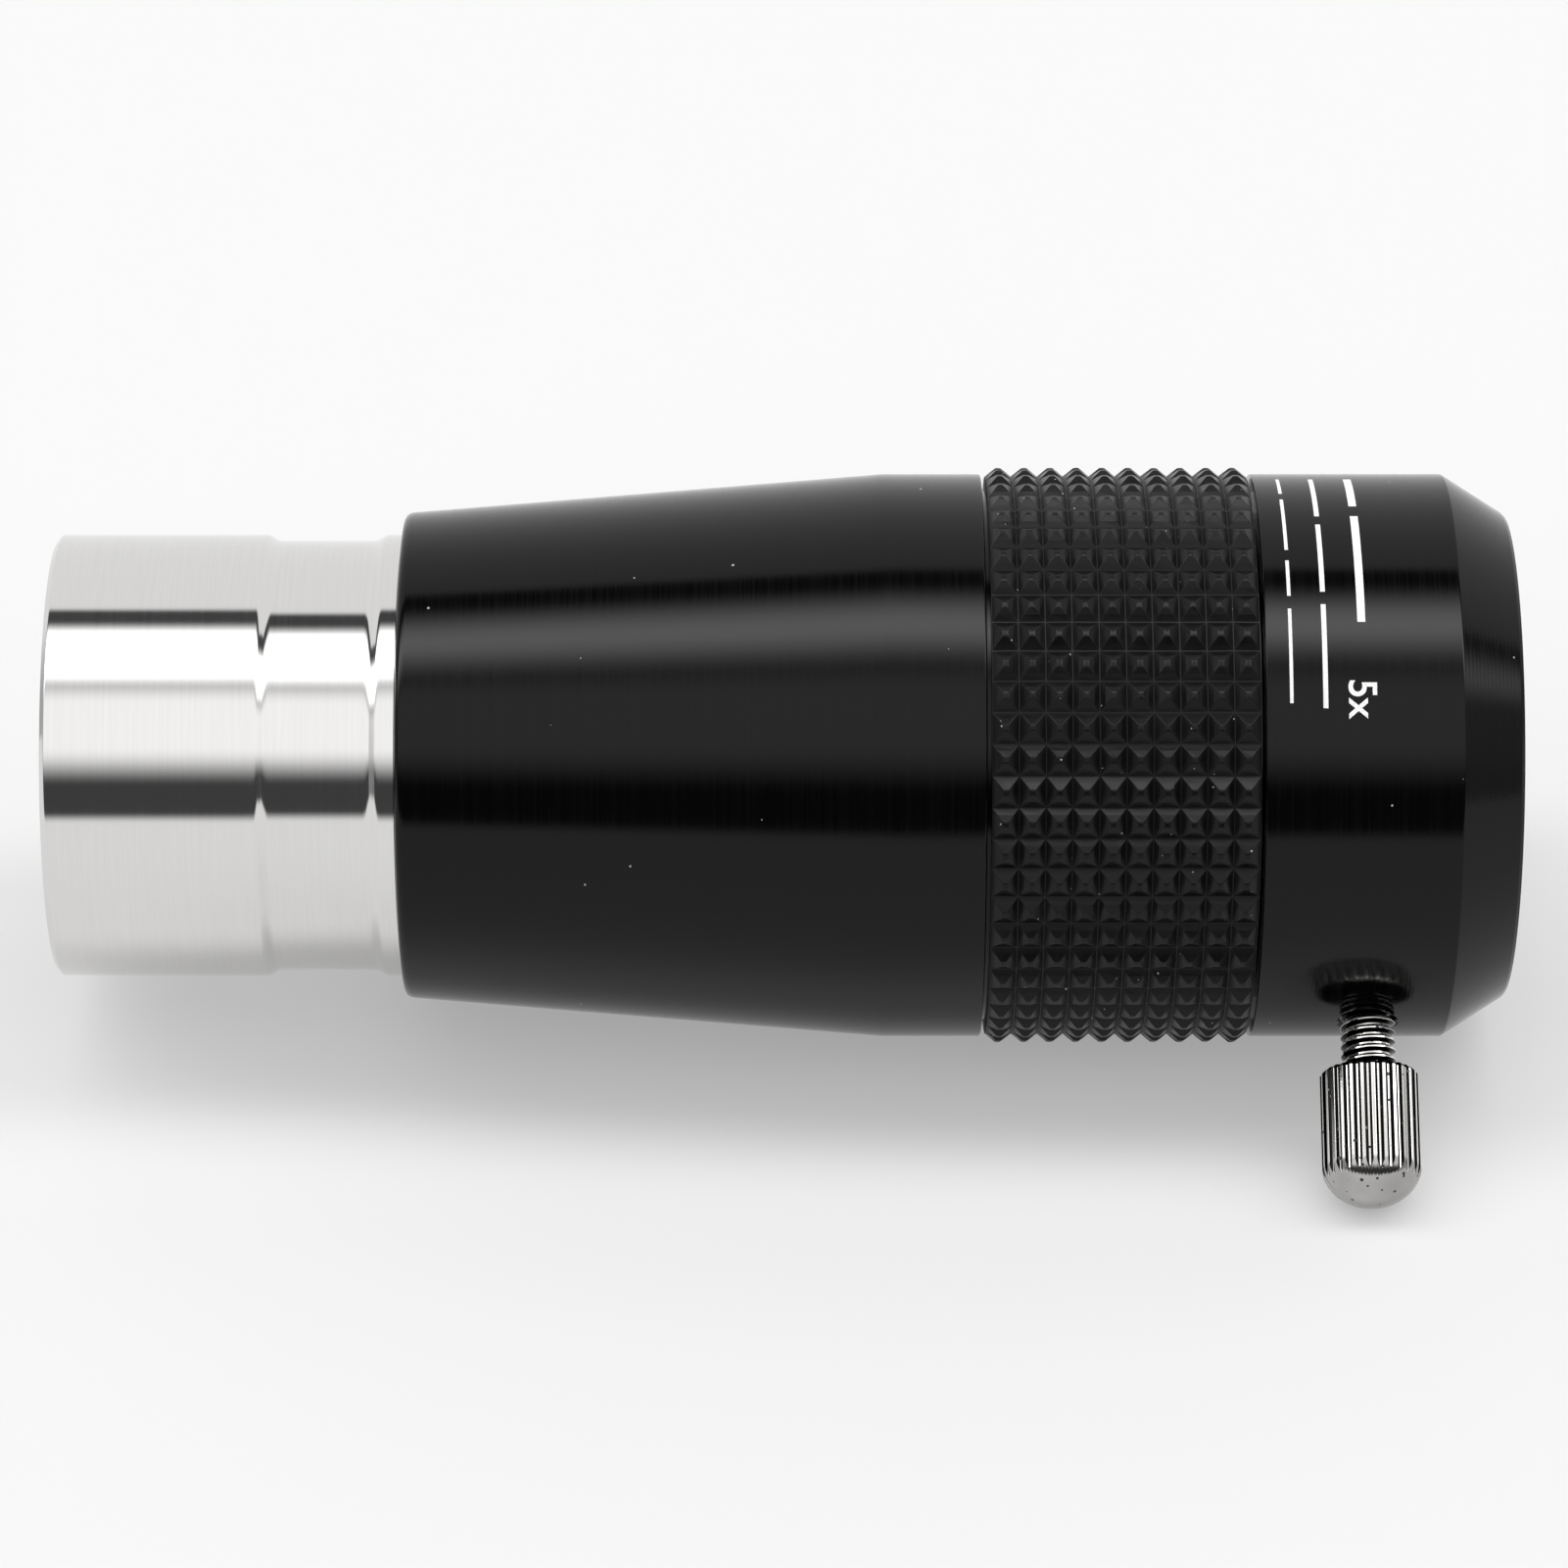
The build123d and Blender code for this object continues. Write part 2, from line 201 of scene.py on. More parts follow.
# %% Floor
FLOOR_SIZE = 8.0
FLOOR_GREY = 0.40
FLOOR_GLOW = 0.34
floor_mesh = bpy.data.meshes.new("floor")
corners = [(-1, -1), (1, -1), (1, 1), (-1, 1)]
places = [(x * FLOOR_SIZE / 2, y * FLOOR_SIZE / 2, cad_low.z) for x, y in corners]
floor_mesh.from_pydata(places, [], [(0, 1, 2, 3)])
floor = bpy.data.objects.new("floor", floor_mesh)
bpy.context.scene.collection.objects.link(floor)
paper = bpy.data.materials.new("pale_paper")
paper.use_nodes = True
paper_shader = paper.node_tree.nodes["Principled BSDF"]
paper_shader.inputs["Base Color"].default_value = (FLOOR_GREY, FLOOR_GREY, FLOOR_GREY, 1)
paper_shader.inputs["Roughness"].default_value = 1.0
paper_shader.inputs["Specular IOR Level"].default_value = 0.0
paper_shader.inputs["Emission Color"].default_value = (1, 1, 1, 1)
paper_shader.inputs["Emission Strength"].default_value = FLOOR_GLOW
floor_mesh.materials.append(paper)

# %% [markdown]
# ## Shared effects
# Three effects come back in several finishes, so each is a shader group with its own settings.
# *Turning marks* are the fine rings that a lathe tool leaves round a tube: noise that is stretched
# round the axis and packed tightly along it, and an even wave, one ridge for each step of the tool.
# *Specks* are small scattered dots, for dust on black metal and pits in plating. *Grain* is the
# fine skin of moulded rubber.

# %% Effect groups
FLOAT = "NodeSocketFloat"


def object_place(tree):
    return put(tree, "ShaderNodeTexCoord").outputs["Object"]


FEED_SHARE = 0.75        # how strong the even wave is beside the noise
BAND_STRETCH = (0.6, 1, 1)
PATCH_SHARE = 0.08       # the scale of slow patches beside the fine grain


def build_turning_marks():
    tree, given, result = new_group(
        "turning marks", "ShaderNodeTree",
        [
            ("Rings per Millimetre", FLOAT, 12.0), ("Breaks per Millimetre", FLOAT, 0.15),
            ("Feed in Millimetres", FLOAT, 0.28), ("Seed", FLOAT, 0.0),
        ],
        [("Height", FLOAT), ("Tone", FLOAT)],
    )
    place = put(tree, "ShaderNodeSeparateXYZ", {0: object_place(tree)})
    along = maths(tree, "MULTIPLY", given["Rings per Millimetre"], 1 / MM)
    around = maths(tree, "MULTIPLY", given["Breaks per Millimetre"], 1 / MM)
    stretched = put(tree, "ShaderNodeCombineXYZ", {
        0: maths(tree, "MULTIPLY", place.outputs["X"], along),
        1: maths(tree, "MULTIPLY", place.outputs["Y"], around),
        2: maths(tree, "MULTIPLY", place.outputs["Z"], around),
    }).outputs[0]
    rings = put(tree, "ShaderNodeTexNoise", {
        "Vector": stretched, "W": given["Seed"], "Scale": 1.0, "Detail": 3.0, "Roughness": 0.7,
    }, noise_dimensions="4D")
    broad = put(tree, "ShaderNodeVectorMath", {0: stretched, 1: BAND_STRETCH}, operation="MULTIPLY")
    bands = put(tree, "ShaderNodeTexNoise", {
        "Vector": broad.outputs[0], "W": given["Seed"], "Scale": 1.0, "Detail": 2.0,
    }, noise_dimensions="4D")
    feed_length = maths(tree, "MULTIPLY", given["Feed in Millimetres"], MM)
    steps = maths(tree, "DIVIDE", place.outputs["X"], feed_length)
    wave = maths(tree, "SINE", maths(tree, "MULTIPLY", steps, 2 * math.pi))
    feed = maths(tree, "MULTIPLY", wave, FEED_SHARE)
    tree.links.new(maths(tree, "ADD", rings.outputs["Fac"], feed), result.inputs["Height"])
    tree.links.new(bands.outputs["Fac"], result.inputs["Tone"])
    return tree


def build_specks():
    tree, given, result = new_group(
        "specks", "ShaderNodeTree",
        [("Spacing in Millimetres", FLOAT, 2.0), ("Size", FLOAT, 0.05), ("Share", FLOAT, 0.3)],
        [("Mask", FLOAT)],
    )
    scale = maths(tree, "DIVIDE", 1 / MM, given["Spacing in Millimetres"])
    cells = put(tree, "ShaderNodeTexVoronoi", {
        "Vector": object_place(tree), "Scale": scale, "Randomness": 1.0,
    })
    chance = put(tree, "ShaderNodeSeparateColor", {0: cells.outputs["Color"]})
    chosen = maths(tree, "LESS_THAN", chance.outputs["Red"], given["Share"])
    size = maths(tree, "MULTIPLY", chance.outputs["Green"], given["Size"])
    inside = maths(tree, "LESS_THAN", cells.outputs["Distance"], size)
    tree.links.new(maths(tree, "MULTIPLY", chosen, inside), result.inputs["Mask"])
    return tree


def build_grain():
    tree, given, result = new_group(
        "grain", "ShaderNodeTree",
        [("Grains per Millimetre", FLOAT, 8.0), ("Seed", FLOAT, 0.0)],
        [("Height", FLOAT), ("Patches", FLOAT)],
    )
    scale = maths(tree, "MULTIPLY", given["Grains per Millimetre"], 1 / MM)
    place = object_place(tree)
    fine = put(tree, "ShaderNodeTexNoise", {
        "Vector": place, "W": given["Seed"], "Scale": scale, "Detail": 4.0, "Roughness": 0.6,
    }, noise_dimensions="4D")
    slow = maths(tree, "MULTIPLY", scale, PATCH_SHARE)
    patches = put(tree, "ShaderNodeTexNoise", {
        "Vector": place, "W": given["Seed"], "Scale": slow, "Detail": 2.0,
    }, noise_dimensions="4D")
    tree.links.new(fine.outputs["Fac"], result.inputs["Height"])
    tree.links.new(patches.outputs["Fac"], result.inputs["Patches"])
    return tree


TURNING_MARKS = build_turning_marks()
SPECKS = build_specks()
GRAIN = build_grain()

# %% [markdown]
# ## Finishes
# Each finish is one Principled shader. What is the same all over is set on its own socket, and
# only what changes over the surface is wired in: a tone, a roughness and the height of a bump.
# The turning marks on the outer tubes are about a thousandth of a millimetre deep, so they blur a
# reflection along the tube and leave it sharp round the tube, which gives turned metal its look.

# %% Finish helpers
def finish_material(name, **sockets):
    """A material with plain values on its shader's sockets, with its tree and its shader."""
    material = bpy.data.materials.new(name)
    material.use_nodes = True
    shader = material.node_tree.nodes["Principled BSDF"]
    for label, value in sockets.items():
        shader.inputs[label.replace("_", " ")].default_value = value
    return material, material.node_tree, shader


def use_group(tree, group, **values):
    node = put(tree, "ShaderNodeGroup", node_tree=group)
    for label, value in values.items():
        node.inputs[label.replace("_", " ")].default_value = value
    return node.outputs


def between(tree, share, low, high):
    """Turns a noise value, mostly 0.3 to 0.7, into a value from low to high."""
    return put(tree, "ShaderNodeMapRange", {0: share, 1: 0.3, 2: 0.7, 3: low, 4: high}).outputs[0]


def between_colours(tree, share, low, high):
    """Mixes two colours or colour sockets. 6 and 7 are the colour inputs of a Mix node."""
    low, high = ((*colour, 1) if isinstance(colour, tuple) else colour for colour in (low, high))
    return put(tree, "ShaderNodeMix", {0: share, 6: low, 7: high}, data_type="RGBA").outputs[2]


def patchy(tree, share, low, high):
    """A colour between low and high, picked by a noise value."""
    return between_colours(tree, between(tree, share, 0.0, 1.0), low, high)


def bump(tree, shader, height, depth):
    """Raises the surface by height times depth, in metres."""
    node = put(tree, "ShaderNodeBump", {"Height": height, "Strength": 1.0, "Distance": depth})
    tree.links.new(node.outputs["Normal"], shader.inputs["Normal"])


# %% Turned metals
# On the rubber, 1 makes a groove duller and 0 is plain. On the nickel it paints light into the colour: 1 is
# painted shade, 0 is plain and -1 is a painted highlight.
GROOVES_AND_PAINTED_LIGHT = "cavity"        # a mesh attribute for duller grooves and for painted light


def bare_aluminium():
    material, tree, shader = finish_material("bare_aluminium", Metallic=1.0)
    marks = use_group(tree, TURNING_MARKS, Rings_per_Millimetre=10.0, Breaks_per_Millimetre=0.12)
    colour = patchy(tree, marks["Tone"], (0.678, 0.671, 0.665), (0.702, 0.696, 0.690))
    tree.links.new(colour, shader.inputs["Base Color"])
    tree.links.new(between(tree, marks["Tone"], 0.065, 0.085), shader.inputs["Roughness"])
    bump(tree, shader, marks["Height"], 0.0004 * MM)
    return material


def black_anodised(name, roughness, depth, seed):
    """Dyed black anodising over turning marks, with a few specks of dust."""
    material, tree, shader = finish_material(name, IOR=1.29)
    marks = use_group(
        tree, TURNING_MARKS, Rings_per_Millimetre=11.0, Breaks_per_Millimetre=0.06, Seed=seed,
    )
    dust = use_group(tree, SPECKS, Spacing_in_Millimetres=1.8, Size=0.055, Share=0.5)
    black = patchy(tree, marks["Tone"], (0.0003, 0.0003, 0.0003), (0.0013, 0.0013, 0.0014))
    colour = between_colours(tree, dust["Mask"], black, (0.32, 0.32, 0.32))
    tree.links.new(colour, shader.inputs["Base Color"])
    dullness = between(tree, marks["Tone"], roughness * 0.8, roughness * 1.25)
    tree.links.new(dullness, shader.inputs["Roughness"])
    bump(tree, shader, marks["Height"], depth * MM)
    return material


def matte_black():
    material, tree, shader = finish_material("matte_black", IOR=1.45)
    grain = use_group(tree, GRAIN, Grains_per_Millimetre=6.0)
    colour = patchy(tree, grain["Patches"], (0.006, 0.006, 0.006), (0.014, 0.014, 0.014))
    tree.links.new(colour, shader.inputs["Base Color"])
    tree.links.new(between(tree, grain["Patches"], 0.5, 0.65), shader.inputs["Roughness"])
    bump(tree, shader, grain["Height"], 0.01 * MM)
    return material


def satin_brass():
    material, tree, shader = finish_material("satin_brass", Metallic=1.0)
    marks = use_group(tree, TURNING_MARKS, Rings_per_Millimetre=9.0, Breaks_per_Millimetre=0.2, Seed=4.0)
    colour = patchy(tree, marks["Tone"], (0.66, 0.45, 0.17), (0.80, 0.58, 0.25))
    tree.links.new(colour, shader.inputs["Base Color"])
    tree.links.new(between(tree, marks["Tone"], 0.24, 0.36), shader.inputs["Roughness"])
    bump(tree, shader, marks["Height"], 0.002 * MM)
    return material


def black_nickel():
    """Dark plating with a few pits. The mesh says where highlights and shade are painted into it."""
    material, tree, shader = finish_material("black_nickel", Metallic=1.0)
    pits = use_group(tree, SPECKS, Spacing_in_Millimetres=0.5, Size=0.30, Share=0.4)
    grain = use_group(tree, GRAIN, Grains_per_Millimetre=3.0, Seed=2.0)
    # the attribute read here says where light is painted into the plating's colour
    depth = put(tree, "ShaderNodeAttribute", attribute_name=GROOVES_AND_PAINTED_LIGHT).outputs["Fac"]
    plain = patchy(tree, grain["Patches"], (0.31, 0.305, 0.30), (0.47, 0.46, 0.45))
    # painted highlight: where the attribute goes below 0, the colour turns near white
    painted_highlight = between_colours(tree, maths(tree, "MULTIPLY", depth, -1.0), plain, (0.95, 0.93, 0.90))
    # painted shade: where it goes above 0, the colour turns near black
    plating = between_colours(tree, maths(tree, "MULTIPLY", depth, 3.0), painted_highlight, (0.004, 0.004, 0.004))
    colour = between_colours(tree, pits["Mask"], plating, (0.05, 0.05, 0.05))
    tree.links.new(colour, shader.inputs["Base Color"])
    tree.links.new(between(tree, grain["Patches"], 0.05, 0.11), shader.inputs["Roughness"])
    dents = maths(tree, "SUBTRACT", grain["Height"], pits["Mask"])
    bump(tree, shader, dents, 0.004 * MM)
    return material


# %% Rubber, glass and paint
def black_rubber():
    material, tree, shader = finish_material("black_rubber", IOR=1.29)
    grain = use_group(tree, GRAIN, Grains_per_Millimetre=9.0, Seed=1.0)
    dust = use_group(tree, SPECKS, Spacing_in_Millimetres=0.7, Size=0.10, Share=0.35)
    depth = put(tree, "ShaderNodeAttribute", attribute_name=GROOVES_AND_PAINTED_LIGHT).outputs["Fac"]
    rubber = patchy(tree, grain["Patches"], (0.0008, 0.0008, 0.0009), (0.0022, 0.0022, 0.0024))
    colour = between_colours(tree, dust["Mask"], rubber, (0.35, 0.35, 0.35))
    tree.links.new(colour, shader.inputs["Base Color"])
    skin = between(tree, grain["Patches"], 0.24, 0.34)
    dull = put(tree, "ShaderNodeMapRange", {0: depth, 3: skin, 4: 0.45})
    tree.links.new(dull.outputs[0], shader.inputs["Roughness"])
    bump(tree, shader, grain["Height"], 0.006 * MM)
    return material


def coated_glass():
    """Clear glass with a thin coating, whose reflections turn green and violet."""
    material, tree, shader = finish_material(
        "coated_glass", Transmission_Weight=1.0, Roughness=0.0, IOR=1.52,
        Thin_Film_Thickness=330.0, Thin_Film_IOR=1.38,
    )
    haze = use_group(tree, GRAIN, Grains_per_Millimetre=0.5, Seed=5.0)
    colour = between_colours(tree, haze["Patches"], (0.93, 0.97, 0.95), (0.98, 1.0, 0.99))
    tree.links.new(colour, shader.inputs["Base Color"])
    return material


def white_paint():
    material, tree, shader = finish_material("white_paint", IOR=1.45)
    grain = use_group(tree, GRAIN, Grains_per_Millimetre=5.0, Seed=3.0)
    colour = patchy(tree, grain["Height"], (0.62, 0.62, 0.61), (0.86, 0.86, 0.85))
    tree.links.new(colour, shader.inputs["Base Color"])
    tree.links.new(between(tree, grain["Patches"], 0.45, 0.6), shader.inputs["Roughness"])
    return material


ALUMINIUM = bare_aluminium()
SATIN_BLACK = black_anodised("satin_black_anodised", roughness=0.12, depth=0.0007, seed=0.0)
GLOSS_BLACK = black_anodised("gloss_black_anodised", roughness=0.12, depth=0.0005, seed=7.0)
MATTE_BLACK = matte_black()
BRASS = satin_brass()
NICKEL = black_nickel()
RUBBER = black_rubber()
GLASS = coated_glass()
PAINT = white_paint()
print(len(bpy.data.materials), "materials")

# %% [markdown]
# ## Turning a piece
# A turned piece is an outline swept round the axis. Blender's Screw modifier and the Spin tool can
# do it, but real edges are never perfectly sharp, and a bevel made afterwards is hard to size
# corner by corner. So the outline itself gets a small arc at each corner, and a second point close
# to each arc, which holds the shading flat right up to the edge.

# %% Outlines and turning
EDGE = 0.08          # the usual rounding of a corner, in millimetres
HOLD = 0.05          # how far from a corner the shading is held
ARC_STEPS = 4
SEGMENTS = 256
TINY = 1e-4              # an arc below this size, in millimetres, stays a plain corner


def rounded(outline):
    """The closed outline of (x, radius[, edge]) points in millimetres, with an arc at each corner."""
    points = []
    for index, (x, radius, *edge) in enumerate(outline):
        corner = Vector((x, radius))
        before = Vector(outline[index - 1][:2]) - corner
        after = Vector(outline[(index + 1) % len(outline)][:2]) - corner
        reach = min(edge[0] if edge else EDGE, 0.4 * before.length, 0.4 * after.length)
        if reach < TINY:
            points.append(corner)
            continue
        start, end = corner + before.normalized() * reach, corner + after.normalized() * reach
        if before.length > 2.5 * (reach + HOLD):
            points.append(corner + before.normalized() * (reach + HOLD))
        for step in range(ARC_STEPS + 1):
            share = step / ARC_STEPS
            points.append(start.lerp(corner, share).lerp(corner.lerp(end, share), share))
        if after.length > 2.5 * (reach + HOLD):
            points.append(corner + after.normalized() * (reach + HOLD))
    return points


def new_piece(name, builder, material, sharp=30):
    """The mesh in builder as an object. sharp is the angle of a hard edge, or 0 for flat faces."""
    bmesh.ops.remove_doubles(builder, verts=builder.verts, dist=0.0001 * MM)
    bmesh.ops.recalc_face_normals(builder, faces=builder.faces)
    mesh = bpy.data.meshes.new(name)
    builder.to_mesh(mesh)
    builder.free()
    mesh.polygons.foreach_set("use_smooth", [sharp > 0] * len(mesh.polygons))
    if sharp:
        mesh.set_sharp_from_angle(angle=math.radians(sharp))
    if material:
        mesh.materials.append(material)
    piece = bpy.data.objects.new(name, mesh)
    bpy.context.scene.collection.objects.link(piece)
    return piece


def round_axis(x, radius, angle):
    """The point at that radius and angle round the optical axis, from millimetres to metres."""
    return x * MM, radius * math.cos(angle) * MM, radius * math.sin(angle) * MM


def turned(name, outline, material, segments=SEGMENTS, already_round=False):
    """A closed piece turned about X from an outline in millimetres."""
    points = outline if already_round else rounded(outline)
    builder = bmesh.new()
    lines = []
    for segment in range(segments):
        angle = 2 * math.pi * segment / segments
        lines.append([builder.verts.new(round_axis(x, radius, angle)) for x, radius in points])
    for here, there in zip(lines, lines[1:] + lines[:1]):
        for index in range(len(points)):
            after = (index + 1) % len(points)
            builder.faces.new((here[index], here[after], there[after], there[index]))
    return new_piece(name, builder, material)


# %% [markdown]
# A finished piece rides on a body of the frame and hides the nodes that it stands for. A modifier
# is never left on it: `bake_modifiers` turns what the modifiers make into a plain mesh first. `cut`
# uses that to saw slots and drill holes.

# %% Finishing helpers
def install(piece, body, slot, *nodes):
    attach(piece, body)
    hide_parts(*nodes)
    print(f"{piece.name}: {len(piece.data.polygons)} faces")
    return piece


def bake_modifiers(piece):
    """Replaces the piece's mesh with what its modifiers make of it."""
    made = bpy.data.meshes.new_from_object(piece.evaluated_get(bpy.context.evaluated_depsgraph_get()))
    piece.modifiers.clear()
    piece.data = made
    made.name = piece.name


def cut(piece, cutter, sharp=30):
    """Takes the cutter's shape out of the piece and removes the cutter."""
    modifier = piece.modifiers.new("cut", "BOOLEAN")
    modifier.operation = "DIFFERENCE"
    modifier.solver = "EXACT"
    modifier.object = cutter
    bake_modifiers(piece)
    bpy.data.objects.remove(cutter)
    piece.data.set_sharp_from_angle(angle=math.radians(sharp))


def span(node):
    """Where a turned node starts and ends on the optical axis, and its radius, in millimetres."""
    low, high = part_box(node)
    return low.x / MM, high.x / MM, high.z / MM


# %% [markdown]
# ## The nosepiece
# The bright tube slides into a focuser. Between two sloped shoulders it is slightly thinner, so
# that a focuser's screw holds it even when loose. At its mouth it has a fine thread for filters.
# The thread is cut as plain V grooves: at this size nobody can see that they don't spiral.

# %% Nosepiece
def grooves(start, end, pitch, crest, root):
    """Outline points for V grooves from start to end, along a bore whose wall stands at the crest radius."""
    count = int(abs(end - start) / pitch)
    step = (end - start) / count
    points = []
    for groove in range(count):
        points.append((start + groove * step, crest, 0))
        points.append((start + (groove + 0.5) * step, root, 0))
    points.append((end, crest, 0))
    return points


nose_start, nose_tail, nose_radius = span("nosepiece")
cell_start, cell_end, cell_radius = span("lens_cell")
lock_start, _, _ = span("cell_lock_ring")
UNDERCUT_RADIUS = nose_radius - 0.43
UNDERCUT_START, UNDERCUT_END, UNDERCUT_SLOPE = -9.8, -1.3, 0.75
FILTER_RADIUS = 13.95
FILTER_GROOVE = 0.28
FILTER_PITCH = 0.6
FILTER_LEAD_IN = 0.45
TAIL_RADIUS = 14.9
REAR_BORE = 13.0
REAR_PITCH = 0.8
REAR_GROOVE = 0.3
NOSE_CHAMFER = 0.35

nosepiece = turned("nosepiece_tube", [
    (nose_start, FILTER_RADIUS + FILTER_LEAD_IN),
    (nose_start, nose_radius - NOSE_CHAMFER, 0.05),
    (nose_start + NOSE_CHAMFER, nose_radius, 0.05),
    (UNDERCUT_START, nose_radius, 0.16),
    (UNDERCUT_START + UNDERCUT_SLOPE, UNDERCUT_RADIUS, 0.25),
    (UNDERCUT_END - UNDERCUT_SLOPE, UNDERCUT_RADIUS, 0.25),
    (UNDERCUT_END, nose_radius, 0.16),
    (0, nose_radius, 0.12),
    (0, TAIL_RADIUS),
    (nose_tail, TAIL_RADIUS),
    (nose_tail, REAR_BORE),
    *grooves(nose_tail - 0.5, cell_end + 0.5, REAR_PITCH, REAR_BORE, REAR_BORE + REAR_GROOVE),
    (cell_end, REAR_BORE),
    (cell_end, cell_radius),
    (lock_start, cell_radius),
    *grooves(lock_start - 0.05, nose_start + 0.5, FILTER_PITCH, FILTER_RADIUS, FILTER_RADIUS + FILTER_GROOVE),
], ALUMINIUM)
install(nosepiece, "barrel", "bare_aluminium", "nosepiece")

# %% [markdown]
# ## The barrel
# The black barrel widens at about five degrees and ends in a straight stretch, where the light
# changes at a crisp line. Inside it has ridges that swallow stray light, so its bore is a row of
# grooves. The taper's turning marks are a little deeper than those of the straight stretch, so the
# mesh has a material slot for each.

# %% Barrel
barrel_start, barrel_end, barrel_radius = span("main_barrel")
grip_start, grip_end, grip_radius = span("grip_ring")
FRONT_RADIUS = 17.4
TAPER_END = 34.2
LAND_RADIUS = 19.0
LAND_START = grip_start - 0.36
BORE_RADIUS = 15.2
HOLDER_THREAD_RADIUS = 17.4
HOLDER_THREAD_START = 47.0
LEDGE_RADIUS = 14.0
LEDGE_END = 11.0
FACE_INNER_RADIUS = 15.9
SEAT_DEPTH = 1.0
RIDGE_PITCH = 0.9
RIDGE_DEPTH = 0.45

barrel = turned("barrel_tube", [
    (SEAT_DEPTH, TAIL_RADIUS),
    (barrel_start, FACE_INNER_RADIUS, 0.05),
    (barrel_start, FRONT_RADIUS, 0.7),
    (TAPER_END, barrel_radius, 0.06),
    (LAND_START, barrel_radius, 0.15),
    (LAND_START, LAND_RADIUS),
    (barrel_end, LAND_RADIUS),
    (barrel_end, HOLDER_THREAD_RADIUS),
    (HOLDER_THREAD_START, HOLDER_THREAD_RADIUS),
    (HOLDER_THREAD_START, BORE_RADIUS),
    *grooves(HOLDER_THREAD_START - 0.5, LEDGE_END + 0.5, RIDGE_PITCH, BORE_RADIUS, BORE_RADIUS + RIDGE_DEPTH),
    (LEDGE_END, BORE_RADIUS),
    (LEDGE_END, LEDGE_RADIUS),
    (nose_tail, LEDGE_RADIUS),
    (nose_tail, TAIL_RADIUS),
], SATIN_BLACK)
barrel.data.materials.append(GLOSS_BLACK)
for face in barrel.data.polygons:
    face.material_index = int(face.center.x > TAPER_END * MM)
install(barrel, "barrel", "black_anodised", "main_barrel")

# %% [markdown]
# ## One tree for everything that repeats round an axis
# The grip is one small pyramid repeated in columns and round the tube, and the knob is one tooth
# repeated round its stud. Copying them in Python works, but a Geometry Nodes tree keeps the counts
# as named settings. The tree lines the piece's own mesh up in columns, adds a wall that is needed
# once per turn step, copies that strip round X, makes the copies real and welds them. A little
# noise then moves the points, because nothing moulded is perfectly even.

# %% Ring of copies
INTEGER, GEOMETRY = "NodeSocketInt", "NodeSocketGeometry"
WELD = 0.001             # points this close, in millimetres, become one
RING_INPUTS = [
    ("Geometry", GEOMETRY, None), ("Wall", "NodeSocketObject", None), ("Around", INTEGER, 12),
    ("Columns", INTEGER, 1), ("Start", FLOAT, 0.0), ("Pitch", FLOAT, 0.0), ("Unevenness", FLOAT, 0.0),
    ("Noise Scale", FLOAT, 300.0), ("Seed", FLOAT, 0.0), ("Material", "NodeSocketMaterial", None),
]


def build_ring_of_copies():
    outputs = [("Geometry", GEOMETRY)]
    tree, given, result = new_group("ring of copies", "GeometryNodeTree", RING_INPUTS, outputs)
    start = put(tree, "ShaderNodeCombineXYZ", {0: given["Start"]})
    step = put(tree, "ShaderNodeCombineXYZ", {0: given["Pitch"]})
    columns = put(tree, "GeometryNodeMeshLine", {
        "Count": given["Columns"], "Start Location": start.outputs[0], "Offset": step.outputs[0],
    }, mode="OFFSET")
    strip = put(tree, "GeometryNodeInstanceOnPoints", {
        "Points": columns.outputs[0], "Instance": given["Geometry"],
    })
    wall = put(tree, "GeometryNodeObjectInfo", {"Object": given["Wall"]})
    joined = put(tree, "GeometryNodeJoinGeometry")
    tree.links.new(strip.outputs[0], joined.inputs[0])
    tree.links.new(wall.outputs["Geometry"], joined.inputs[0])
    sector = put(tree, "GeometryNodeGeometryToInstance", {0: joined.outputs[0]})
    places = put(tree, "GeometryNodeMeshLine", {
        "Count": given["Around"], "Offset": (0, 0, 0),
    }, mode="OFFSET")
    turn = maths(tree, "DIVIDE", 2 * math.pi, given["Around"])
    angle = maths(tree, "MULTIPLY", put(tree, "GeometryNodeInputIndex").outputs[0], turn)
    turning = put(tree, "ShaderNodeCombineXYZ", {0: angle})
    ring = put(tree, "GeometryNodeInstanceOnPoints", {
        "Points": places.outputs[0], "Instance": sector.outputs[0], "Rotation": turning.outputs[0],
    })
    real = put(tree, "GeometryNodeRealizeInstances", {0: ring.outputs[0]})
    welded = put(tree, "GeometryNodeMergeByDistance", {
        "Geometry": real.outputs[0], "Distance": WELD * MM,
    })
    noise = put(tree, "ShaderNodeTexNoise", {
        "Scale": given["Noise Scale"], "W": given["Seed"], "Detail": 1.0,
    }, noise_dimensions="4D")
    centred = put(tree, "ShaderNodeVectorMath", {
        0: noise.outputs["Color"], 1: (0.5, 0.5, 0.5),
    }, operation="SUBTRACT")
    shift = put(tree, "ShaderNodeVectorMath", {
        0: centred.outputs[0], "Scale": given["Unevenness"],
    }, operation="SCALE")
    moved = put(tree, "GeometryNodeSetPosition", {
        "Geometry": welded.outputs[0], "Offset": shift.outputs[0],
    })
    finished = put(tree, "GeometryNodeSetMaterial", {
        "Geometry": moved.outputs[0], "Material": given["Material"],
    })
    tree.links.new(finished.outputs[0], result.inputs[0])
    return tree


RING_OF_COPIES = build_ring_of_copies()


